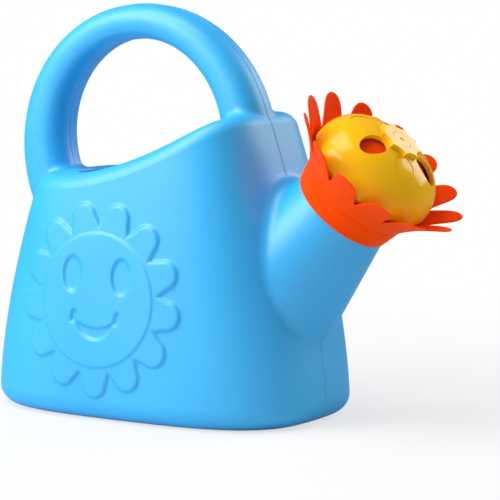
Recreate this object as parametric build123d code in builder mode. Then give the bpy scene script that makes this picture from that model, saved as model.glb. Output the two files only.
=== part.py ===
"""Toy watering can: hollow can with an arched handle and a turning flower rose."""

import os
from math import cos, pi, radians, sin, sqrt

from build123d import *

# Tank, in millimetres: X runs forward to the spout, Z is up, the origin is the base's centre
tank_length = 184.5
tank_width = 119.0
tank_rise = 160.0
tank_top_length = 104.0
tank_top_width = 90.0
tank_top_shift = 3.1
length_bulge = 1.6
width_bulge = 1.4
plan_power_base = 3.0
plan_power_top = 3.6
tank_stations = 5
tank_points = 20
tank_seam = 135.0
base_round = 10.0
wall = 2.0
base_wall = 2.4

# Saddle-shaped top: a level ledge behind, rising to the shoulder in front
ledge_height = 120.5
shoulder_height = 157.0
saddle_start = -32.2
saddle_end = 55.8
saddle_lift = 1.0
saddle_middle = 0.34
rim_round = 8.0

# Fill mouth in the saddle, with a lip turned down around it
mouth_rear = -52.0
mouth_front = 24.0
mouth_width = 66.0
lip_depth = 4.0
lip_round = 0.8

# Handle: a crescent between an outer and an inner circle
arch_center_x = -15.1
arch_height = 206.5
arch_radius = 75.0
grip_radius = 49.3
grip_raise = 8.0
grip_shift = -0.2
handle_width = 27.0
handle_power = 2.5
handle_points = 12
handle_seam = 180.0
handle_front_angle = -12.0
handle_rear_angle = 228.0
handle_sections = 9
leg_round = 4.5

# Spout: a cone around an axis that leans forward, ending in a neck
spout_lean = 47.3
spout_reach = 8.4
neck_height = 107.3
spout_end_radius = 25.4
spout_taper = 0.19
spout_depth = 76.0
spout_round = 6.5
neck_radius = 24.2
neck_length = 12.5

# Sun in relief on both sides of the tank
sun_x = -7.8
sun_height = 60.7
sun_radius = 33.5
sun_petals = 13
sun_petal_phase = 90.0 + 180.0 / sun_petals
sun_notch_radius = 37.5
sun_tip_radius = 49.0
sun_petal_width = 14.6
sun_notch_round = 1.0
sun_petal_rise = 1.4
sun_disc_rise = 0.6
feature_depth = 1.1
eye_spread = 14.9
eye_raise = 12.4
eye_width = 11.0
eye_height = 17.4
smile_corner_x = 11.0
smile_corner_drop = 10.8
smile_top_drop = 13.8
smile_bottom_drop = 19.4
cheek_x = 13.2
cheek_drop = 8.4
cheek_length = 6.4
cheek_width = 2.6
cheek_slant = 78.0

# Petal collar: skirt over the neck, then a bell of petals; heights run along the spout's axis
push_clearance = 0.1
skirt_wall = 2.1
skirt_height = 11.7
skirt_top_radius = 28.9
stop_gap = 0.2
stop_flange = 1.6
stop_flange_reach = 2.2
bell_wall = 1.4
bell_mid_radius = 36.9
bell_mid_height = 22.5
bell_tip_radius = 47.9
bell_tip_height = 31.9
bell_overrun = 3.0
rose_petals = 13
rose_petal_phase = 23.6
rose_notch_radius = 34.6
rose_petal_width = 13.2
rose_notch_round = 1.0

# Yellow dome with windows, blind ovals and a star boss
dome_radius = 33.4
dome_base = 21.3
dome_equator = 23.2
dome_pole = 46.5
dome_power = 2.3
dome_points = 7
dome_wall = 2.0
dome_rim_draw = 0.9
star_rise = 1.4
star_points = 9
star_phase = 150.0
star_radius = 11.8
star_hollow_radius = 9.6
window_count = 3
window_ring = 18.2
window_length = 15.2
window_width = 11.6
window_phase = 171.5
blind_depth = 0.35

# Sieve under the dome, with its spray holes under the blind ovals
sieve_gap = 0.6
sieve_radius = 28.2
sieve_wall = 1.8
spray_holes = 6
spray_hole_radius = 0.9
spray_ring_radius = 3.6
hub_radius = 5.0
hub_length = 3.0

# Pivot pin and its clip
pin_radius = 2.5
running_clearance = 0.08
pin_head_radius = 5.1
pin_head_height = 1.4
pin_head_gap = 0.25
pin_dimple_radius = 1.4
pin_dimple_depth = 0.4
pin_tail = 1.4
clip_radius = 5.4
clip_height = 1.6
clip_gap = 0.3

# Stops that end the dome's part turn, between one window and the next blind oval
turn_angle = 180.0 / window_count
stop_angle = 20.0
stop_width_angle = 7.0
stop_play_angle = 0.8
stop_height = 3.5
stop_clearance = 0.5

os.makedirs("parts", exist_ok=True)

# Rose frame: its Z is the spout's axis, from the skirt's lower edge
lean = radians(spout_lean)
rose_origin = (tank_length / 2 + spout_reach, 0, neck_height)
rose_axis = (cos(lean), 0, sin(lean))
rose_up = (-sin(lean), 0, cos(lean))
rose_plane = Plane(origin=rose_origin, x_dir=(0, 1, 0), z_dir=rose_axis)
profile_plane = Plane(origin=rose_origin, x_dir=rose_up, z_dir=(0, 1, 0))
turn_axis = Axis(rose_origin, rose_axis)

# Heights along the rose's axis that more than one piece needs
flange_low = neck_length + stop_gap
flange_top = flange_low + stop_flange
star_face = dome_pole + star_rise
sieve_pole = dome_pole - dome_wall - sieve_gap
hub_end = sieve_pole - sieve_wall - hub_length
clip_top = hub_end - clip_gap
clip_low = clip_top - clip_height
pin_end = clip_low - pin_tail


# Closed smooth outline with rounded corners, as points around it
def superellipse(half_x, half_y, power, start, count, middle=0.0):
    points = []
    for step in range(count):
        angle = radians(start) + 2 * pi * step / count
        reach = (abs(cos(angle)) ** power + abs(sin(angle)) ** power) ** (-1 / power)
        points.append((middle + half_x * reach * cos(angle), half_y * reach * sin(angle)))
    return points


# Plan outline of the tank at a height, grown all round and then in width alone
def tank_section(height, grow, grow_width):
    share = height / tank_rise
    lengthwise = share**length_bulge
    half_length = (tank_length - (tank_length - tank_top_length) * lengthwise) / 2 + grow
    half_width = (tank_width - (tank_width - tank_top_width) * share**width_bulge) / 2 + grow + grow_width
    power = plan_power_base + (plan_power_top - plan_power_base) * share
    return superellipse(half_length, half_width, power, tank_seam, tank_points, tank_top_shift * lengthwise)


# Tank filled solid from a lowest height up to its rise
def tank_block(lowest, grow, grow_width=0.0):
    with BuildPart() as block:
        for station in range(tank_stations):
            height = lowest + (tank_rise - lowest) * station / (tank_stations - 1)
            with BuildSketch(Plane.XY.offset(height)):
                with BuildLine():
                    Spline(*tank_section(height, grow, grow_width), periodic=True)
                make_face()
        loft()
    return block.part


# Space above the saddle, lowered by a drop
def above_saddle(drop):
    far = tank_length
    top = arch_height + far
    run = saddle_end - saddle_start
    rise = shoulder_height - ledge_height
    ledge = ledge_height - drop
    with BuildPart() as space:
        with BuildSketch(Plane.XZ.offset(-tank_width)):
            with BuildLine():
                saddle = Spline(
                    (-far, ledge),
                    (saddle_start - run / 2, ledge),
                    (saddle_start, ledge + saddle_lift),
                    (saddle_start + run / 2, ledge + rise * saddle_middle),
                    (saddle_end, ledge + rise),
                    (far, ledge + rise * far / saddle_end),
                    tangents=((1, 0), (far, rise)),
                )
                Polyline(saddle @ 1, (far, top), (-far, top), saddle @ 0)
            make_face()
        extrude(amount=2 * tank_width)
    return space.part


# Handle as a loft of rounded sections around the crescent, inset by a wall
def handle_block(inset):
    arch_center_z = arch_height - arch_radius
    with BuildPart() as block:
        for section in range(handle_sections):
            share = section / (handle_sections - 1)
            angle = radians(handle_front_angle + (handle_rear_angle - handle_front_angle) * share)
            nearer = grip_raise * sin(angle) + grip_shift * cos(angle)
            aside = grip_raise * cos(angle) - grip_shift * sin(angle)
            inner = nearer + sqrt(grip_radius**2 - aside**2)
            middle = (arch_radius + inner) / 2
            depth = (arch_radius - inner) / 2 - inset
            width = handle_width / 2 - inset
            spot = (arch_center_x + middle * cos(angle), 0, arch_center_z + middle * sin(angle))
            outward = (cos(angle), 0, sin(angle))
            along = (-sin(angle), 0, cos(angle))
            with BuildSketch(Plane(origin=spot, x_dir=outward, z_dir=along)):
                with BuildLine():
                    outline = superellipse(depth, width, handle_power, handle_seam, handle_points)
                    Spline(*outline, periodic=True)
                make_face()
        loft()
    return block.part


# Spout cone and neck, inset by a wall, from deep in the tank to the neck's end
def spout_block(inset):
    root_radius = spout_end_radius + spout_taper * spout_depth
    with BuildPart() as block:
        with BuildSketch(profile_plane):
            with BuildLine():
                Polyline(
                    (0, -spout_depth),
                    (root_radius - inset, -spout_depth),
                    (spout_end_radius - inset, 0),
                    (neck_radius - inset, 0),
                    (neck_radius - inset, neck_length),
                    (0, neck_length),
                    close=True,
                )
            make_face()
        revolve(axis=turn_axis)
    return block.part


# Oval prism of the fill mouth, grown by a lip's wall
def mouth_block(grow):
    lowest = ledge_height - wall - lip_depth - rim_round
    with BuildPart() as block:
        with BuildSketch(Plane.XY.offset(lowest)):
            with Locations(((mouth_rear + mouth_front) / 2, 0)):
                Ellipse((mouth_front - mouth_rear) / 2 + grow, mouth_width / 2 + grow)
        extrude(amount=shoulder_height - lowest)
    return block.part


# Whether an edge runs around the fill mouth
def rings_mouth(edge):
    return abs(edge.bounding_box().size.Y - mouth_width) < lip_round


# Whether an edge lies where a leg of the handle meets the tank
def rings_leg(edge):
    box = edge.bounding_box()
    half_width = handle_width / 2 + leg_round
    in_width = box.max.Y < half_width and box.min.Y > -half_width
    return in_width and box.min.Z > neck_height / 2 and box.max.Z < shoulder_height


# Ring of round-tipped petals around a centre
def petal_outline(count, phase, notch_radius, tip_radius, width):
    half_step = pi / count
    shoulder_reach = tip_radius - width / 2
    for petal in range(count):
        middle = radians(phase) + 2 * petal * half_step
        outward = Vector(cos(middle), sin(middle))
        across = Vector(sin(middle), -cos(middle)) * (width / 2)
        first_notch = Vector(cos(middle - half_step), sin(middle - half_step)) * notch_radius
        last_notch = Vector(cos(middle + half_step), sin(middle + half_step)) * notch_radius
        first_side = outward * shoulder_reach + across
        last_side = outward * shoulder_reach - across
        Line(first_notch, first_side)
        ThreePointArc(first_side, outward * tip_radius, last_side)
        Line(last_side, last_notch)


# Star with hollow sides around a centre
def star_outline():
    step = 2 * pi / star_points
    for point in range(star_points):
        angle = radians(star_phase) + point * step
        first_tip = Vector(cos(angle), sin(angle)) * star_radius
        last_tip = Vector(cos(angle + step), sin(angle + step)) * star_radius
        hollow_side = Vector(cos(angle + step / 2), sin(angle + step / 2)) * star_hollow_radius
        ThreePointArc(first_tip, hollow_side, last_tip)


# Filled dome about the rose's axis, from a rim at a low height up to its pole
def dome_block(rim_radius, low, radius, pole):
    height = pole - dome_equator
    points = [(radius, dome_equator)]
    for step in range(1, dome_points):
        angle = pi / 2 * step / dome_points
        across = radius * cos(angle) ** (2 / dome_power)
        points.append((across, dome_equator + height * sin(angle) ** (2 / dome_power)))
    points.append((0, pole))
    with BuildPart() as block:
        with BuildSketch(profile_plane):
            with BuildLine():
                Polyline((0, pole), (0, low), (rim_radius, low), points[0])
                Spline(*points, tangents=((0, 1), (-1, 0)))
            make_face()
        revolve(axis=turn_axis)
    return block.part


# Yellow dome filled solid, inset from its outside
def yellow_block(inset):
    radius = dome_radius - inset
    return dome_block(radius - dome_rim_draw, dome_base, radius, dome_pole - inset)


# Sieve filled solid, inset from its outside
def sieve_block(inset):
    radius = sieve_radius - inset
    return dome_block(radius, flange_top, radius, sieve_pole - inset)


# Sector of a ring about the rose's axis, for the turn stops
def stop_block(inner_radius, outer_radius, middle_angle):
    with BuildPart() as block:
        with BuildSketch(profile_plane):
            with Locations(((inner_radius + outer_radius) / 2, dome_equator + stop_height / 2)):
                Rectangle(outer_radius - inner_radius, stop_height)
        revolve(axis=turn_axis, revolution_arc=stop_width_angle)
    return block.part.rotate(turn_axis, middle_angle - stop_width_angle / 2)


# Sun's face: eyes, smile and cheek ticks, cut below the disc
sun_plane = Plane(origin=(sun_x, 0, sun_height), x_dir=(1, 0, 0), z_dir=(0, -1, 0))
with BuildPart() as sun_face:
    with BuildSketch(sun_plane):
        with Locations((-eye_spread, eye_raise), (eye_spread, eye_raise)):
            Ellipse(eye_width / 2, eye_height / 2)
        with BuildLine():
            left_corner = (-smile_corner_x, -smile_corner_drop)
            right_corner = (smile_corner_x, -smile_corner_drop)
            ThreePointArc(left_corner, (0, -smile_top_drop), right_corner)
            ThreePointArc(left_corner, (0, -smile_bottom_drop), right_corner)
        make_face()
        for hand in (-1, 1):
            with Locations(Location((hand * cheek_x, -cheek_drop, 0), cheek_slant)):
                SlotOverall(cheek_length, cheek_width)
    extrude(amount=tank_width)
    add(tank_block(0.0, 0.0, sun_petal_rise + sun_disc_rise - feature_depth), mode=Mode.SUBTRACT)

# Sun's disc, raised above its petals
with BuildPart() as sun_disc:
    with BuildSketch(sun_plane):
        Circle(sun_radius)
    extrude(amount=tank_width)
    add(tank_block(0.0, 0.0, sun_petal_rise + sun_disc_rise), mode=Mode.INTERSECT)

# One sun as a plate let into the near side of the tank's wall
with BuildPart() as sun_plate:
    with BuildSketch(sun_plane) as sun_flower:
        with BuildLine():
            petal_outline(sun_petals, sun_petal_phase, sun_notch_radius, sun_tip_radius, sun_petal_width)
        make_face()
        fillet(sun_flower.vertices().sort_by_distance((0, 0, 0))[:sun_petals], sun_notch_round)
    extrude(amount=tank_width)
    add(tank_block(0.0, 0.0, sun_petal_rise), mode=Mode.INTERSECT)
    add(sun_disc.part)
    add(sun_face.part, mode=Mode.SUBTRACT)
    add(tank_block(0.0, 0.0, -wall / 2), mode=Mode.SUBTRACT)

# Lip around the fill mouth, turned down along the saddle
with BuildPart() as mouth_lip:
    add(mouth_block(wall))
    add(above_saddle(wall + lip_depth), mode=Mode.INTERSECT)
    add(mouth_block(0.0), mode=Mode.SUBTRACT)

# Void inside the can: tank, mouth, handle and spout, each a wall smaller
with BuildPart() as hollow:
    add(tank_block(base_wall, -wall))
    fillet(hollow.edges().group_by(Axis.Z)[0], base_round - wall)
    add(above_saddle(wall), mode=Mode.SUBTRACT)
    fillet(hollow.edges().filter_by_position(Axis.Z, ledge_height - rim_round, tank_rise), rim_round - wall)
    add(mouth_lip.part, mode=Mode.SUBTRACT)
    add(mouth_block(0.0))
    add(handle_block(wall))
    add(spout_block(wall))

# Can: tank, handle and spout in one hollow piece, with a sun on each side
with BuildPart() as can_body:
    add(tank_block(0.0, 0.0))
    fillet(can_body.edges().group_by(Axis.Z)[0], base_round)
    add(above_saddle(0.0), mode=Mode.SUBTRACT)
    fillet(can_body.edges().filter_by_position(Axis.Z, ledge_height - rim_round, tank_rise), rim_round)
    add(handle_block(0.0))
    fillet(can_body.edges().filter_by(rings_leg), leg_round)
    add(spout_block(0.0))
    fillet(can_body.edges(Select.LAST).sort_by(SortBy.LENGTH)[-1], spout_round)
    add(hollow.part, mode=Mode.SUBTRACT)
    fillet(can_body.edges().filter_by(rings_mouth).sort_by(Axis.Z)[-1], lip_round)
    far_sun = mirror(sun_plate.part, about=Plane.XZ, mode=Mode.PRIVATE)
    add([sun_plate.part, far_sun])
can_body.part.label = "can_body"
export_step(can_body.part, "parts/can_body.step")

# Petal collar: pushed over the neck up to its flange
with BuildPart() as petal_collar:
    bore = neck_radius + push_clearance
    flange_bore = neck_radius - stop_flange_reach
    with BuildSketch(profile_plane):
        with BuildLine():
            back = ThreePointArc(
                (skirt_top_radius, skirt_height),
                (bell_mid_radius, bell_mid_height),
                (bell_tip_radius + bell_overrun, bell_tip_height + bell_overrun),
            )
            front_points = []
            for share in (1.0, 0.5, 0.0):
                along = back % share
                front_points.append(back @ share + Vector(-along.Y, along.X) * bell_wall)
            front = ThreePointArc(*front_points)
            Line(back @ 1, front @ 0)
            Line(front @ 1, back @ 0)
        make_face()
        with BuildLine():
            Polyline(
                (bore, 0),
                (bore + skirt_wall, 0),
                (skirt_top_radius, skirt_height),
                front @ 1,
                (skirt_top_radius, flange_top),
                (flange_bore, flange_top),
                (flange_bore, flange_low),
                (bore, flange_low),
                close=True,
            )
        make_face()
    revolve(axis=turn_axis)
    with BuildSketch(rose_plane.offset(-skirt_height)) as rose_flower:
        with BuildLine():
            petal_outline(
                rose_petals,
                rose_petal_phase,
                rose_notch_radius,
                bell_tip_radius,
                rose_petal_width,
            )
        make_face()
        fillet(rose_flower.vertices().sort_by_distance((0, 0, 0))[:rose_petals], rose_notch_round)
    extrude(amount=skirt_height + star_face, mode=Mode.INTERSECT)
petal_collar.part.label = "petal_collar"
export_step(petal_collar.part, "parts/petal_collar.step")

# Sieve: stands on the collar's flange and carries the pivot hub and two stop ribs
with BuildPart() as spray_sieve:
    add(sieve_block(0.0))
    add(sieve_block(sieve_wall), mode=Mode.SUBTRACT)
    with BuildSketch(rose_plane.offset(hub_end)):
        Circle(hub_radius)
    extrude(amount=hub_length + sieve_wall / 2)
    with BuildSketch(rose_plane):
        Circle(pin_radius + running_clearance)
        with PolarLocations(window_ring, window_count, start_angle=window_phase + turn_angle):
            Circle(spray_hole_radius)
            with PolarLocations(spray_ring_radius, spray_holes):
                Circle(spray_hole_radius)
    extrude(amount=star_face, mode=Mode.SUBTRACT)
    rib_inner = sieve_radius - sieve_wall / 2
    rib_outer = dome_radius - dome_wall - stop_clearance
    rib_step = stop_width_angle + stop_play_angle
    add(stop_block(rib_inner, rib_outer, stop_angle - rib_step))
    add(stop_block(rib_inner, rib_outer, stop_angle + turn_angle + rib_step))
spray_sieve.part.label = "spray_sieve"
export_step(spray_sieve.part, "parts/spray_sieve.step")

# Blind ovals: the outer skin of the dome between the windows
with BuildPart() as blind_ovals:
    with BuildSketch(rose_plane.offset(dome_equator)):
        with PolarLocations(window_ring, window_count, start_angle=window_phase + turn_angle):
            Ellipse(window_length / 2, window_width / 2)
    extrude(amount=star_face - dome_equator)
    add(yellow_block(blind_depth), mode=Mode.SUBTRACT)

# Dome: its star stands over the inner ends of the windows
with BuildPart() as rose_dome:
    add(yellow_block(0.0))
    with BuildSketch(rose_plane.offset(dome_equator)):
        with PolarLocations(window_ring, window_count, start_angle=window_phase):
            Ellipse(window_length / 2, window_width / 2)
    extrude(amount=star_face - dome_equator, mode=Mode.SUBTRACT)
    add(blind_ovals.part, mode=Mode.SUBTRACT)
    with BuildSketch(rose_plane.offset(dome_equator)):
        with BuildLine():
            star_outline()
        make_face()
    extrude(amount=star_face - dome_equator)
    add(yellow_block(dome_wall), mode=Mode.SUBTRACT)
    with BuildSketch(rose_plane.offset(dome_equator)):
        Circle(pin_radius)
    extrude(amount=star_face, mode=Mode.SUBTRACT)
    with BuildSketch(rose_plane.offset(star_face - pin_head_height)):
        Circle(pin_head_radius + pin_head_gap)
    extrude(amount=pin_head_height, mode=Mode.SUBTRACT)
    add(stop_block(sieve_radius + stop_clearance, dome_radius - dome_wall / 2, stop_angle))
rose_dome.part.label = "rose_dome"
export_step(rose_dome.part, "parts/rose_dome.step")

# Pivot pin: its head lies flush in the star
with BuildPart() as pivot_pin:
    with BuildSketch(rose_plane.offset(pin_end)):
        Circle(pin_radius)
    extrude(amount=star_face - pin_end)
    with BuildSketch(rose_plane.offset(star_face - pin_head_height)):
        Circle(pin_head_radius)
    extrude(amount=pin_head_height)
    with BuildSketch(rose_plane.offset(star_face - pin_dimple_depth)):
        Circle(pin_dimple_radius)
    extrude(amount=pin_dimple_depth, mode=Mode.SUBTRACT)
pivot_pin.part.label = "pivot_pin"
export_step(pivot_pin.part, "parts/pivot_pin.step")

# Pin clip: a washer pressed on the pin behind the hub
with BuildPart() as pin_clip:
    with BuildSketch(rose_plane.offset(clip_low)):
        Circle(clip_radius)
        Circle(pin_radius, mode=Mode.SUBTRACT)
    extrude(amount=clip_height)
pin_clip.part.label = "pin_clip"
export_step(pin_clip.part, "parts/pin_clip.step")
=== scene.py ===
import math

import bmesh
import bpy
import numpy as np
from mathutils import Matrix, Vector
from mathutils.bvhtree import BVHTree


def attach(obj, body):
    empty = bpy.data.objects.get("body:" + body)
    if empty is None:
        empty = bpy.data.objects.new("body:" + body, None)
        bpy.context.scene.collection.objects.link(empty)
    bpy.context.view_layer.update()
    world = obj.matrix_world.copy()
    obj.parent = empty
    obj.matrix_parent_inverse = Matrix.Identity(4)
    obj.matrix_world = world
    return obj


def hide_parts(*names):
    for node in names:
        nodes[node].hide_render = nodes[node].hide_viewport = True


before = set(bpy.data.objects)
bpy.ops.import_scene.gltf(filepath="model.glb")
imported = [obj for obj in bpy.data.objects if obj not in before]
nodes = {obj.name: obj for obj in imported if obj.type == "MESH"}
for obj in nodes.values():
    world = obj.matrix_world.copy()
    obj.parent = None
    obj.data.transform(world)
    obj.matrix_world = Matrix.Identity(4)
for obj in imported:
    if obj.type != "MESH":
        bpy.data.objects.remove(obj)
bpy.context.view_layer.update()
scene = bpy.context.scene
mm = 0.001
print("frame loaded:", ", ".join(sorted(nodes)))


def newGroup(name, inputs, outputs):
    # shader node group with named sockets, each given as (name, kind)
    group = bpy.data.node_groups.new(name, "ShaderNodeTree")
    for label, kind in inputs:
        group.interface.new_socket(label, in_out="INPUT", socket_type="NodeSocket" + kind)
    for label, kind in outputs:
        group.interface.new_socket(label, in_out="OUTPUT", socket_type="NodeSocket" + kind)
    return group, group.nodes.new("NodeGroupInput"), group.nodes.new("NodeGroupOutput")


def addNode(tree, kind, **values):
    # a node with its properties and its named or numbered inputs set
    node = tree.nodes.new("ShaderNode" + kind)
    for key, value in values.items():
        if key.startswith("in_"):
            label = key[3:].replace("_", " ")
            node.inputs[int(label) if label.isdigit() else label].default_value = value
        else:
            setattr(node, key, value)
    return node


def mathNode(tree, operation, first, second, clamp=False):
    # a Math node fed by sockets or plain numbers
    node = addNode(tree, "Math", operation=operation, use_clamp=clamp)
    for place, value in enumerate((first, second)):
        if isinstance(value, (int, float)):
            node.inputs[place].default_value = value
        else:
            tree.links.new(value, node.inputs[place])
    return node.outputs[0]


def rampNode(tree, source, low, high):
    # 0 below low, 1 above high, smooth between
    node = addNode(tree, "MapRange", interpolation_type="SMOOTHSTEP", in_1=low, in_2=high)
    tree.links.new(source, node.inputs[0])
    return node.outputs[0]


# soft clouds of tone and fine moulding grain
grainLook = dict(cloudDetail=3.0, cloudBreak=0.55, cloudRange=(0.3, 0.72), fineDetail=2.0, fineBreak=0.6)
mouldGrain, grainIn, grainOut = newGroup(
    "mouldGrain",
    [("Vector", "Vector"), ("Colour", "Color"), ("Tint", "Color"),
     ("Cloud Size", "Float"), ("Cloud Depth", "Float"), ("Grain Size", "Float")],
    [("Colour", "Color"), ("Grain", "Float"), ("Cloud", "Float")],
)
cloudNoise = addNode(mouldGrain, "TexNoise", in_Detail=grainLook["cloudDetail"],
                     in_Roughness=grainLook["cloudBreak"])
fineNoise = addNode(mouldGrain, "TexNoise", in_Detail=grainLook["fineDetail"],
                    in_Roughness=grainLook["fineBreak"])
cloudMix = addNode(mouldGrain, "Mix", data_type="RGBA")  # its colours are inputs 6 and 7, output 2
mouldGrain.links.new(grainIn.outputs["Vector"], cloudNoise.inputs["Vector"])
mouldGrain.links.new(grainIn.outputs["Vector"], fineNoise.inputs["Vector"])
mouldGrain.links.new(grainIn.outputs["Cloud Size"], cloudNoise.inputs["Scale"])
mouldGrain.links.new(grainIn.outputs["Grain Size"], fineNoise.inputs["Scale"])
cloudStep = rampNode(mouldGrain, cloudNoise.outputs[0], *grainLook["cloudRange"])
cloudShare = mathNode(mouldGrain, "MULTIPLY", cloudStep, grainIn.outputs["Cloud Depth"])
mouldGrain.links.new(cloudShare, cloudMix.inputs[0])
mouldGrain.links.new(grainIn.outputs["Colour"], cloudMix.inputs[6])
mouldGrain.links.new(grainIn.outputs["Tint"], cloudMix.inputs[7])
mouldGrain.links.new(cloudMix.outputs[2], grainOut.inputs["Colour"])
mouldGrain.links.new(fineNoise.outputs[0], grainOut.inputs["Grain"])
mouldGrain.links.new(cloudStep, grainOut.inputs["Cloud"])

# fine handling scratches in two directions, gathered in patches
scratchLook = dict(
    strokes=(((0.3, 0.5, 0.9), (900.0, 30.0, 900.0)), ((0.9, -0.4, 2.2), (30.0, 1100.0, 700.0))),
    strokeDetail=1.0, strokeRange=(0.66, 0.74), patchDetail=2.0, patchRange=(0.45, 0.68),
)
hairScratch, scratchIn, scratchOut = newGroup(
    "hairScratch",
    [("Vector", "Vector"), ("Patch Size", "Float"), ("Amount", "Float")],
    [("Mask", "Float")],
)
strokeMasks = []
for turn, stretch in scratchLook["strokes"]:
    aim = addNode(hairScratch, "Mapping", in_Rotation=turn, in_Scale=stretch)
    lines = addNode(hairScratch, "TexNoise", in_Scale=1.0, in_Detail=scratchLook["strokeDetail"])
    hairScratch.links.new(scratchIn.outputs["Vector"], aim.inputs["Vector"])
    hairScratch.links.new(aim.outputs[0], lines.inputs["Vector"])
    strokeMasks.append(rampNode(hairScratch, lines.outputs[0], *scratchLook["strokeRange"]))
patchNoise = addNode(hairScratch, "TexNoise", in_Detail=scratchLook["patchDetail"])
hairScratch.links.new(scratchIn.outputs["Vector"], patchNoise.inputs["Vector"])
hairScratch.links.new(scratchIn.outputs["Patch Size"], patchNoise.inputs["Scale"])
patchMask = rampNode(hairScratch, patchNoise.outputs[0], *scratchLook["patchRange"])
scratchMask = mathNode(hairScratch, "MULTIPLY", mathNode(hairScratch, "MAXIMUM", *strokeMasks), patchMask)
scratchMask = mathNode(hairScratch, "MULTIPLY", scratchMask, scratchIn.outputs["Amount"], clamp=True)
hairScratch.links.new(scratchMask, scratchOut.inputs["Mask"])

# what all the plastics share; depths in metres
moulding = dict(ior=1.5, bumpDepth=0.0002, glowDepth=0.003, patchSize=22.0)


def plastic(name, finish):
    # moulded plastic: tone clouds, grain bump, scratches that show in colour, gloss and bump
    material = bpy.data.materials.new(name)
    material.use_nodes = True
    tree = material.node_tree
    shader = tree.nodes["Principled BSDF"]
    place = addNode(tree, "TexCoord")
    grain = addNode(tree, "Group", node_tree=mouldGrain)
    scratch = addNode(tree, "Group", node_tree=hairScratch)
    for group in (grain, scratch):
        tree.links.new(place.outputs["Object"], group.inputs["Vector"])
    grain.inputs["Colour"].default_value = (*finish["colour"], 1)
    grain.inputs["Tint"].default_value = (*finish["tint"], 1)
    grain.inputs["Cloud Size"].default_value = finish["cloudSize"]
    grain.inputs["Cloud Depth"].default_value = finish["cloudDepth"]
    grain.inputs["Grain Size"].default_value = finish["grainSize"]
    scratch.inputs["Patch Size"].default_value = moulding["patchSize"]
    scratch.inputs["Amount"].default_value = finish["scratches"]
    pale = addNode(tree, "Mix", data_type="RGBA", in_7=(*finish["scratchTone"], 1))
    paleShare = mathNode(tree, "MULTIPLY", scratch.outputs["Mask"], finish["scratchColour"])
    tree.links.new(paleShare, pale.inputs[0])
    tree.links.new(grain.outputs["Colour"], pale.inputs[6])
    tree.links.new(pale.outputs[2], shader.inputs["Base Color"])
    dull = mathNode(tree, "MULTIPLY", scratch.outputs["Mask"], finish["scratchDull"])
    soft = mathNode(tree, "MULTIPLY", grain.outputs["Cloud"], finish["cloudDull"])
    rough = mathNode(tree, "ADD", mathNode(tree, "ADD", dull, soft), finish["roughness"], clamp=True)
    tree.links.new(rough, shader.inputs["Roughness"])
    height = mathNode(tree, "SUBTRACT", grain.outputs["Grain"], scratch.outputs["Mask"])
    bump = addNode(tree, "Bump", in_Strength=finish["bump"], in_Distance=moulding["bumpDepth"])
    tree.links.new(height, bump.inputs["Height"])
    tree.links.new(bump.outputs[0], shader.inputs["Normal"])
    shader.inputs["IOR"].default_value = moulding["ior"]
    shader.inputs["Specular IOR Level"].default_value = finish["shine"]
    shader.inputs["Subsurface Weight"].default_value = finish["glow"]
    shader.inputs["Subsurface Radius"].default_value = finish["glowReach"]
    shader.inputs["Subsurface Scale"].default_value = moulding["glowDepth"]
    return material


blueFinish = dict(
    colour=(0.008, 0.43, 0.90), tint=(0.018, 0.49, 0.95), cloudSize=16.0, cloudDepth=0.5, grainSize=1400.0,
    scratches=0.9, scratchTone=(0.35, 0.74, 0.98), scratchColour=0.07, scratchDull=0.22, cloudDull=0.05,
    roughness=0.44, shine=1.0, bump=0.14, glow=0.0, glowReach=(0.2, 0.6, 1.0),
)
orangeFinish = dict(
    colour=(0.98, 0.060, 0.001), tint=(1.0, 0.085, 0.002), cloudSize=30.0, cloudDepth=0.5, grainSize=1600.0,
    scratches=0.5, scratchTone=(1.0, 0.30, 0.08), scratchColour=0.1, scratchDull=0.15, cloudDull=0.05,
    roughness=0.42, shine=0.03, bump=0.08, glow=0.5, glowReach=(1.0, 0.10, 0.01),
)
yellowFinish = dict(
    colour=(0.97, 0.51, 0.006), tint=(0.99, 0.57, 0.012), cloudSize=30.0, cloudDepth=0.5, grainSize=1600.0,
    scratches=0.35, scratchTone=(1.0, 0.75, 0.2), scratchColour=0.1, scratchDull=0.10, cloudDull=0.02,
    roughness=0.13, shine=0.24, bump=0.03, glow=0.10, glowReach=(1.0, 0.45, 0.03),
)
clipFinish = dict(
    colour=(0.80, 0.77, 0.70), tint=(0.86, 0.84, 0.78), cloudSize=60.0, cloudDepth=0.4, grainSize=1800.0,
    scratches=0.4, scratchTone=(0.95, 0.95, 0.92), scratchColour=0.2, scratchDull=0.12, cloudDull=0.05,
    roughness=0.45, shine=0.5, bump=0.08, glow=0.0, glowReach=(1.0, 0.9, 0.8),
)
bluePlastic = plastic("bluePlastic", blueFinish)
orangePlastic = plastic("orangePlastic", orangeFinish)
yellowPlastic = plastic("yellowPlastic", yellowFinish)
palePlastic = plastic("palePlastic", clipFinish)
print("plastics ready")


def dress(obj, material):
    obj.data.materials.clear()
    obj.data.materials.append(material)


dress(nodes["spray_sieve"], orangePlastic)
dress(nodes["rose_dome"], yellowPlastic)
dress(nodes["pivot_pin"], yellowPlastic)
dress(nodes["pin_clip"], palePlastic)


def meshPiece(name, shape, material):
    # a finished bmesh as an object at the origin
    mesh = bpy.data.meshes.new(name)
    shape.to_mesh(mesh)
    shape.free()
    mesh.materials.append(material)
    mesh.polygons.foreach_set("use_smooth", [True] * len(mesh.polygons))
    piece = bpy.data.objects.new(name, mesh)
    scene.collection.objects.link(piece)
    return piece


# the tank's side wall, as in the solids, in millimetres
tank = dict(
    length=184.5, width=119.0, rise=160.0, topLength=104.0, topWidth=90.0, topShift=3.1,
    lengthBulge=1.6, widthBulge=1.4, powerBase=3.0, powerTop=3.6,
)


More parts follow.
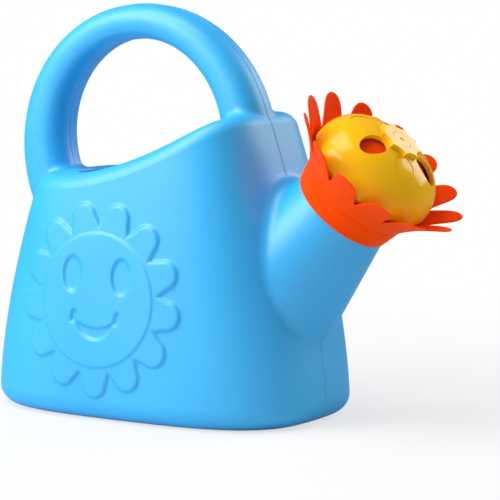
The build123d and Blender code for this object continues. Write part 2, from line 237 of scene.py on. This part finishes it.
def tankSide(x, z, grow=0.0):
    # half the tank's width at a place along its length and height
    share = z / tank["rise"]
    lengthwise = share ** tank["lengthBulge"]
    widthwise = share ** tank["widthBulge"]
    halfLength = (tank["length"] - (tank["length"] - tank["topLength"]) * lengthwise) / 2
    halfWidth = (tank["width"] - (tank["width"] - tank["topWidth"]) * widthwise) / 2 + grow
    power = tank["powerBase"] + (tank["powerTop"] - tank["powerBase"]) * share
    across = abs(x - tank["topShift"] * lengthwise) / halfLength
    return halfWidth * (1 - min(across, 1.0) ** power) ** (1 / power)


# the sun in relief, soft as blow moulding leaves it, in millimetres
sun = dict(
    x=-7.8, z=60.7, discRadius=33.5, petals=13, notchRadius=37.5, tipRadius=49.0, petalWidth=14.6,
    petalRise=1.4, discRise=0.6, faceDepth=1.1, eyeSpread=14.9, eyeRaise=12.4, eyeHalf=(5.5, 8.7),
    smileTop=(8.27, 22.07), smileLow=(-8.06, 11.34), tickX=13.2, tickDrop=8.4, tickHalf=1.9, tickRadius=1.3,
    tickSlant=78.0, foot=0.35, petalSoft=2.0, discSoft=1.1, faceSoft=1.7,
    cover=0.02, skirt=1.0, dip=1.5, sink=0.05, thick=0.8, cells=190, reach=54.0,
    probe=3.0, probeFrom=200.0, probeLimit=0.6, clear=0.9, blur=2.6,
)


def flowerEdge(u, v):
    # distance outside the flower's outline
    half = math.pi / sun["petals"]
    angle = (math.atan2(v, u) - math.pi / 2) % (2 * half)
    angle = abs(angle - half)
    radius = math.hypot(u, v)
    along, across = radius * math.cos(angle), radius * math.sin(angle)
    tipHalf = sun["petalWidth"] / 2
    shoulder = sun["tipRadius"] - tipHalf
    if along > shoulder:
        return math.hypot(along - shoulder, across) - tipHalf
    notch = Vector((sun["notchRadius"] * math.cos(half), sun["notchRadius"] * math.sin(half)))
    side = Vector((shoulder, tipHalf))
    run = (side - notch).normalized()
    return (Vector((along, across)) - side).dot(Vector((-run.y, run.x)))


def discEdge(u, v):
    return math.hypot(u, v) - sun["discRadius"]


def faceEdge(u, v):
    # distance outside the eyes, smile and cheek ticks
    eyeX, eyeZ = sun["eyeHalf"]
    eye = (math.hypot((abs(u) - sun["eyeSpread"]) / eyeX, (v - sun["eyeRaise"]) / eyeZ) - 1) * eyeX
    lowZ, lowRadius = sun["smileLow"]
    topZ, topRadius = sun["smileTop"]
    smile = max(math.hypot(u, v - lowZ) - lowRadius, topRadius - math.hypot(u, v - topZ))
    slant = math.radians(sun["tickSlant"])
    du, dv = u - math.copysign(sun["tickX"], u), v + sun["tickDrop"]
    along = min(max(du * math.cos(slant) + dv * math.sin(slant), -sun["tickHalf"]), sun["tickHalf"])
    tick = math.hypot(du - along * math.cos(slant), dv - along * math.sin(slant)) - sun["tickRadius"]
    return min(eye, smile, tick)


def softStep(value):
    # soft at the foot and at the top
    value = min(max(value, 0.0), 1.0)
    return value * value * (3 - 2 * value)


def roundStep(value):
    # steep at the foot, rounded at the top
    value = min(max(value, 0.0), 1.0)
    return 1 - (1 - value) ** 2


def sunHeight(u, v):
    outside = flowerEdge(u, v)
    height = sun["cover"] + sun["petalRise"] * roundStep((sun["foot"] - outside) / sun["petalSoft"])
    height += sun["discRise"] * roundStep((sun["foot"] - discEdge(u, v)) / sun["discSoft"])
    height -= sun["faceDepth"] * softStep(0.5 - faceEdge(u, v) / sun["faceSoft"])
    return height - (sun["cover"] + sun["sink"]) * softStep((outside - sun["skirt"]) / sun["dip"])


def wallProbes(tree, hand):
    # how far the solid's wall lies off the formula, at points clear of the relief's edges
    probes = []
    count = int(sun["reach"] / sun["probe"])
    for column in range(-count, count + 1):
        for row in range(-count, count + 1):
            u, v = column * sun["probe"], row * sun["probe"]
            edges = flowerEdge(u, v), discEdge(u, v), faceEdge(u, v)
            if min(abs(edge) for edge in edges) < sun["clear"]:
                continue
            x, z = u + sun["x"], v + sun["z"]
            hit = tree.ray_cast(Vector((x, hand * sun["probeFrom"], z)) * mm, Vector((0, -hand, 0)))[0]
            level = sun["petalRise"] * (edges[0] < 0) + sun["discRise"] * (edges[1] < 0)
            level -= sun["faceDepth"] * (edges[2] < 0)
            gap = abs(hit.y) / mm - tankSide(x, z, level)
            if abs(gap) < sun["probeLimit"]:
                probes.append((u, v, gap))
    return np.array(probes)


def wallGap(probes, u, v):
    # the probes near a point, averaged
    away = (probes[:, 0] - u) ** 2 + (probes[:, 1] - v) ** 2
    weights = np.exp(-away / (2 * sun["blur"] ** 2))
    return float(weights @ probes[:, 2] / weights.sum())


def sunPiece(name, hand, probes):
    # a fine grid cut to the flower, bent onto the wall and given its thickness
    shape = bmesh.new()
    bmesh.ops.create_grid(shape, x_segments=sun["cells"], y_segments=sun["cells"], size=sun["reach"])
    far = [v for v in shape.verts if flowerEdge(v.co.x, v.co.y) > sun["skirt"] + sun["dip"]]
    bmesh.ops.delete(shape, geom=far, context="VERTS")
    for v in shape.verts:
        across, up = v.co.x, v.co.y
        x, z = across + sun["x"], up + sun["z"]
        wall = tankSide(x, z, sunHeight(across, up)) + wallGap(probes, across, up)
        v.co = Vector((x, hand * wall, z)) * mm
    bmesh.ops.recalc_face_normals(shape, faces=shape.faces)
    if sum(f.normal.y for f in shape.faces) * hand < 0:
        bmesh.ops.reverse_faces(shape, faces=shape.faces)
    bmesh.ops.solidify(shape, geom=shape.faces[:], thickness=sun["thick"] * mm)
    piece = meshPiece(name, shape, bluePlastic)
    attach(piece, "can")


# the can itself: the solid's mesh welded, its crisp relief sunk under the soft suns
shell = dict(weld=1e-6, sink=0.4, proud=0.25, margin=1.0)
solidMesh = nodes["can_body"].data
shellShape = bmesh.new()
shellShape.from_mesh(solidMesh)
smooth = shellShape.loops.layers.float_vector.new("smooth")
for face, polygon in zip(shellShape.faces, solidMesh.polygons):
    cornerNormals = {}
    for corner in polygon.loop_indices:
        cornerNormals[solidMesh.loops[corner].vertex_index] = solidMesh.corner_normals[corner].vector
    for loop in face.loops:
        loop[smooth] = cornerNormals[loop.vert.index]
bmesh.ops.remove_doubles(shellShape, verts=shellShape.verts, dist=shell["weld"])
shellTree = BVHTree.FromBMesh(shellShape)
for name, hand in (("sunRight", -1), ("sunLeft", 1)):
    probes = wallProbes(shellTree, hand)
    sunPiece(name, hand, probes)
    for v in shellShape.verts:
        x, y, z = v.co / mm
        if y * hand < 0 or math.hypot(x - sun["x"], z - sun["z"]) > sun["tipRadius"] + shell["margin"]:
            continue
        wall = tankSide(x, z) + wallGap(probes, x - sun["x"], z - sun["z"])
        if abs(y) > wall + shell["proud"]:
            v.co.y = hand * (wall - shell["sink"]) * mm
print("suns raised")
canShell = meshPiece("canShell", shellShape, bluePlastic)
canShell.data.normals_split_custom_set([item.vector for item in canShell.data.attributes["smooth"].data])
canShell.data.attributes.remove(canShell.data.attributes["smooth"])
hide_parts("can_body")
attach(canShell, "can")
print("can shell ready")

# the mould's parting line, a fine bead down the middle of the can
# each run is a centre in millimetres, its first and last angle, and whether it is seen from outside
bead = dict(
    radius=0.5, proud=0.2, turn=1.0, rounding=3, outside=400.0,
    runs=(
        ((10, 95), 25.0, 221.0, True),  # shoulder, over the handle and down the back
        ((10, 95), -46.0, -4.0, True),  # front of the tank, under the spout
        ((-15.3, 150), -13.0, 215.0, False),  # inside of the handle
    ),
)


def beadRun(centre, first, last, outside):
    # points along the can's middle plane, seen from a centre through a range of angles
    points = []
    middle = Vector((centre[0], 0, centre[1])) * mm
    for step in range(int((last - first) / bead["turn"]) + 1):
        angle = math.radians(first + step * bead["turn"])
        out = Vector((math.cos(angle), 0, math.sin(angle)))
        start, aim = (middle + out * bead["outside"] * mm, -out) if outside else (middle, out)
        hit = shellTree.ray_cast(start, aim)
        normal = hit[1] if hit[1].dot(aim) < 0 else -hit[1]
        normal.y = 0
        points.append(hit[0] + normal.normalized() * (bead["proud"] - bead["radius"]) * mm)
    return points


beadCurve = bpy.data.curves.new("partingLine", "CURVE")
beadCurve.dimensions = "3D"
beadCurve.bevel_depth = bead["radius"] * mm
beadCurve.bevel_resolution = bead["rounding"]
beadCurve.use_fill_caps = True
for run in bead["runs"]:
    spots = beadRun(*run)
    line = beadCurve.splines.new("POLY")
    line.points.add(len(spots) - 1)
    for point, spot in zip(line.points, spots):
        point.co = (*spot, 1)
beadSource = bpy.data.objects.new("partingSource", beadCurve)
beadMesh = bpy.data.meshes.new_from_object(beadSource)
bpy.data.objects.remove(beadSource)
beadMesh.materials.clear()
beadMesh.materials.append(bluePlastic)
partingLine = bpy.data.objects.new("partingLine", beadMesh)
scene.collection.objects.link(partingLine)
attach(partingLine, "can")
print("parting line laid")

# the petal collar, one closed skin with thin rounded petals; sizes as in the solids, along the spout's axis
# footRound and topRound are the skirt's rounded edges, as steps out and up from its foot and its top
collar = dict(
    origin=(100.65, 0.0, 107.3), lean=47.3, petals=13, phase=23.6, notch=34.6, tip=48.5, petalWidth=13.4,
    bore=24.3, skirtFoot=26.4, skirtTop=(28.9, 11.7), bellMid=(36.9, 22.5), bellEnd=(50.9, 34.9),
    footRound=((-0.3, 0.0), (0.0, 0.25), (0.1, 0.7)), topRound=((-0.25, -1.2), (-0.22, -0.7), (-0.5, -0.35)),
    wall=1.4, tipWall=1.1, rim=0.3, rimRound=0.12, inset=1.0,
    flangeBore=22.0, flangeLow=12.7, flangeTop=14.3, seat=26.8, seatRound=(0.8, 0.1),
    edge=0.3, corner=(0.1, 0.2), boreRows=(6.0, 0.5),
    petalColumns=18, petalRows=9, bellRows=4, bellShares=(0.0, 0.06, 0.3, 0.65),
)
lean = math.radians(collar["lean"])
roseAxis = Vector((math.cos(lean), 0, math.sin(lean)))
roseUp = Vector((-math.sin(lean), 0, math.cos(lean)))
roseSide = Vector((0, 1, 0))


def onRose(radius, height, angle):
    # a point of the rose, by its radius, its height along the axis and its angle round it
    spot = Vector(collar["origin"]) + roseAxis * height
    return (spot + (roseSide * math.cos(angle) + roseUp * math.sin(angle)) * radius) * mm


def circleThrough(first, middle, last):
    # centre and radius of a circle through three points of the profile
    ax, ay, bx, by, cx, cy = *first, *middle, *last
    turn = 2 * (ax * (by - cy) + bx * (cy - ay) + cx * (ay - by))
    squares = ax * ax + ay * ay, bx * bx + by * by, cx * cx + cy * cy
    x = (squares[0] * (by - cy) + squares[1] * (cy - ay) + squares[2] * (ay - by)) / turn
    y = (squares[0] * (cx - bx) + squares[1] * (ax - cx) + squares[2] * (bx - ax)) / turn
    return x, y, math.hypot(ax - x, ay - y)


bellX, bellY, bellRound = circleThrough(collar["skirtTop"], collar["bellMid"], collar["bellEnd"])


def onBell(radius, lift):
    # a point of the bell's back at a radius, lifted into the wall towards the hollow side
    side = 1 if bellY < collar["bellMid"][1] else -1
    height = bellY + side * math.sqrt(max(bellRound ** 2 - (radius - bellX) ** 2, 0.0))
    normal = Vector((bellX - radius, bellY - height)).normalized()
    if normal.y < 0:
        normal = -normal
    return radius + normal.x * lift, height + normal.y * lift


def petalReach(angle):
    # radius of the petal's outline at an angle from its middle
    tipHalf = collar["petalWidth"] / 2
    shoulder = collar["tip"] - tipHalf
    angle = abs(angle)
    if angle < math.atan2(tipHalf, shoulder):
        return shoulder * math.cos(angle) + math.sqrt(tipHalf ** 2 - (shoulder * math.sin(angle)) ** 2)
    half = math.pi / collar["petals"]
    notchX, notchY = collar["notch"] * math.cos(half), collar["notch"] * math.sin(half)
    dx, dy = shoulder - notchX, tipHalf - notchY
    return (notchX * dy - notchY * dx) / (math.cos(angle) * dy - math.sin(angle) * dx)


def collarRow(row, reach):
    # radius and height of one row of the skin, in a column where the petal ends at reach
    kind, value = row
    if kind == "plain":
        return value
    inner = collar["notch"] - collar["inset"]
    bellFoot = collar["skirtTop"][0]
    if kind == "bellBack":
        return onBell(bellFoot + (inner - bellFoot) * value, 0.0)
    if kind == "bellFront":
        bellFoot += collar["inset"]
        return onBell(bellFoot + (inner - bellFoot) * value, collar["wall"])
    thick = collar["wall"] + (collar["tipWall"] - collar["wall"]) * value
    radius = inner + (reach - collar["rim"] - inner) * value
    if kind == "petalBack":
        return onBell(radius, collar["rimRound"] * value)
    if kind == "petalFront":
        return onBell(radius, thick - collar["rimRound"] * value)
    return onBell(reach, collar["tipWall"] / 2)


def collarRows():
    # all rows of the skin in order: skirt, bell's back, petals, bell's front, flange and bore
    foot, (topRadius, topHeight) = collar["skirtFoot"], collar["skirtTop"]
    bore, flangeBore, edge = collar["bore"], collar["flangeBore"], collar["edge"]
    low, high = collar["flangeLow"], collar["flangeTop"]
    seatOut, seatUp = collar["seatRound"]
    cornerIn, cornerDown = collar["corner"]
    skirt = [(foot + out, up) for out, up in collar["footRound"]]
    skirt.append(((foot + topRadius) / 2, topHeight / 2))
    skirt += [(topRadius + out, topHeight + up) for out, up in collar["topRound"]]
    inside = [
        (collar["seat"] + seatOut, high + seatUp), (collar["seat"], high), (flangeBore + edge, high),
        (flangeBore, high - edge), (flangeBore, low + edge), (flangeBore + edge, low),
        (bore - cornerIn, low), (bore, low - cornerDown),
    ]
    inside += [(bore, height) for height in collar["boreRows"]] + [(bore + edge, 0.0)]
    petalShares = [i / collar["petalRows"] for i in range(collar["petalRows"] + 1)]
    rows = [("plain", spot) for spot in skirt]
    rows += [("bellBack", share) for share in collar["bellShares"]]
    rows += [("petalBack", share) for share in petalShares]
    rows.append(("tip", 1.0))
    rows += [("petalFront", share) for share in reversed(petalShares)]
    rows += [("bellFront", 1 - i / collar["bellRows"]) for i in range(1, collar["bellRows"] + 1)]
    return rows + [("plain", spot) for spot in inside]


columns = collar["petals"] * collar["petalColumns"]
petalStep = 2 * math.pi / collar["petals"]
phase = math.radians(collar["phase"])
collarShape = bmesh.new()
ring = bmesh.ops.create_circle(collarShape, segments=columns, radius=1.0)["verts"]
angles = {v: math.atan2(v.co.y, v.co.x) for v in ring}
firstEdges = collarShape.edges[:]
rowEdges = firstEdges
for number, row in enumerate(collarRows()):
    if number:
        grown = bmesh.ops.extrude_edge_only(collarShape, edges=rowEdges)["geom"]
        ring = [v for v in grown if isinstance(v, bmesh.types.BMVert)]
        edges = [e for e in grown if isinstance(e, bmesh.types.BMEdge)]
        rowEdges = [e for e in edges if all(v not in angles for v in e.verts)]
        freshAngles = {}
        for v in ring:
            freshAngles[v] = next(angles[e.other_vert(v)] for e in v.link_edges if e.other_vert(v) in angles)
        angles.update(freshAngles)
    for v in ring:
        fromMiddle = (angles[v] - phase + petalStep / 2) % petalStep - petalStep / 2
        v.co = onRose(*collarRow(row, petalReach(fromMiddle)), angles[v])
bmesh.ops.bridge_loops(collarShape, edges=rowEdges + firstEdges)
bmesh.ops.recalc_face_normals(collarShape, faces=collarShape.faces)
petalSkin = meshPiece("petalSkin", collarShape, orangePlastic)
soften = petalSkin.modifiers.new("soften", "SUBSURF")
soften.levels = soften.render_levels = 1
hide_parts("petal_collar")
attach(petalSkin, "rose")
print("petals grown")

# pale floor: white far out, soft shadow near the can, dimmer in reflections; sizes in metres
stage = dict(
    size=6.0, colour=(0.74, 0.74, 0.74), roughness=0.9, shine=0.1, near=0.66, shadowReach=(0.16, 0.50),
    mirrored=0.22,
)
floorMesh = bmesh.new()
bmesh.ops.create_grid(floorMesh, x_segments=1, y_segments=1, size=stage["size"])
floorMaterial = bpy.data.materials.new("paleFloor")
floorMaterial.use_nodes = True
floorTree = floorMaterial.node_tree
floorShader = floorTree.nodes["Principled BSDF"]
floorShader.inputs["Base Color"].default_value = (*stage["colour"], 1)
floorShader.inputs["Roughness"].default_value = stage["roughness"]
floorShader.inputs["Specular IOR Level"].default_value = stage["shine"]
floorGlow = addNode(floorTree, "Emission")
floorMix = addNode(floorTree, "MixShader")
floorPlace = addNode(floorTree, "TexCoord")
floorReach = addNode(floorTree, "VectorMath", operation="LENGTH")
floorTree.links.new(floorPlace.outputs["Object"], floorReach.inputs[0])
farOut = addNode(floorTree, "MapRange", interpolation_type="SMOOTHSTEP", in_1=stage["shadowReach"][0],
                 in_2=stage["shadowReach"][1], in_3=stage["near"], in_4=1.0)
floorTree.links.new(floorReach.outputs["Value"], farOut.inputs[0])
rays = addNode(floorTree, "LightPath")
dimming = mathNode(floorTree, "MULTIPLY", rays.outputs["Is Glossy Ray"], 1 - stage["mirrored"])
floorTree.links.new(mathNode(floorTree, "SUBTRACT", 1.0, dimming), floorGlow.inputs["Strength"])
seen = mathNode(floorTree, "MAXIMUM", rays.outputs["Is Camera Ray"], rays.outputs["Is Glossy Ray"])
seen = mathNode(floorTree, "MAXIMUM", seen, rays.outputs["Is Transmission Ray"])
floorTree.links.new(mathNode(floorTree, "MULTIPLY", seen, farOut.outputs[0]), floorMix.inputs[0])
floorTree.links.new(floorShader.outputs[0], floorMix.inputs[1])
floorTree.links.new(floorGlow.outputs[0], floorMix.inputs[2])
floorTree.links.new(floorMix.outputs[0], floorTree.nodes["Material Output"].inputs["Surface"])
floor = meshPiece("floor", floorMesh, floorMaterial)

# white room: seen white by the camera, dimmer as light and in reflections
room = dict(light=0.36, mirrored=0.14)
world = bpy.data.worlds.new("whiteRoom")
scene.world = world
world.use_nodes = True
worldTree = world.node_tree
worldLight = worldTree.nodes["Background"]
worldLight.inputs["Color"].default_value = (1, 1, 1, 1)
worldRays = addNode(worldTree, "LightPath").outputs
dimming = mathNode(worldTree, "MULTIPLY", worldRays["Is Glossy Ray"], room["light"] - room["mirrored"])
roomLight = mathNode(worldTree, "SUBTRACT", room["light"], dimming)
roomSeen = mathNode(worldTree, "MAXIMUM", worldRays["Is Camera Ray"], worldRays["Is Transmission Ray"])
worldTree.links.new(mathNode(worldTree, "MAXIMUM", roomLight, roomSeen), worldLight.inputs["Strength"])

# studio lamps, in metres and watts
lamps = dict(
    keySoftbox=dict(spot=(-0.62, -0.86, 0.70), aim=(0.02, 0, 0.10), size=(0.80, 0.80), power=12.6),
    topSoftbox=dict(spot=(-0.30, -0.30, 1.25), aim=(0.05, 0, 0.12), size=(0.8, 0.8), power=9.0),
    rearSoftbox=dict(spot=(0.57, 1.15, 0.66), aim=(0.06, 0, 0.13), size=(0.85, 0.62), power=7.6),
)


def facing(spot, aim):
    # the turn of a lamp or camera that looks from a spot to its aim
    return (Vector(aim) - Vector(spot)).to_track_quat("-Z", "Y").to_euler()


def softLamp(name, spot, aim, size, power):
    data = bpy.data.lights.new(name, "AREA")
    data.shape = "RECTANGLE"
    data.size, data.size_y = size
    data.energy = power
    lamp = bpy.data.objects.new(name, data)
    lamp.location = spot
    lamp.rotation_euler = facing(spot, aim)
    scene.collection.objects.link(lamp)


for name, values in lamps.items():
    softLamp(name, **values)

# camera fitted to the photograph
view = dict(
    spot=(0.67831, -1.01080, 0.22329), aim=(0.04683, 0.0, 0.08358), lens=171.75, sensor=36.0, clipStart=0.05,
)
cameraData = bpy.data.cameras.new("camera")
cameraData.lens = view["lens"]
cameraData.sensor_width = view["sensor"]
cameraData.clip_start = view["clipStart"]
camera = bpy.data.objects.new("camera", cameraData)
camera.location = view["spot"]
camera.rotation_euler = facing(view["spot"], view["aim"])
scene.collection.objects.link(camera)
scene.camera = camera
scene.view_settings.view_transform = "Standard"
print("stage, lamps and camera ready")
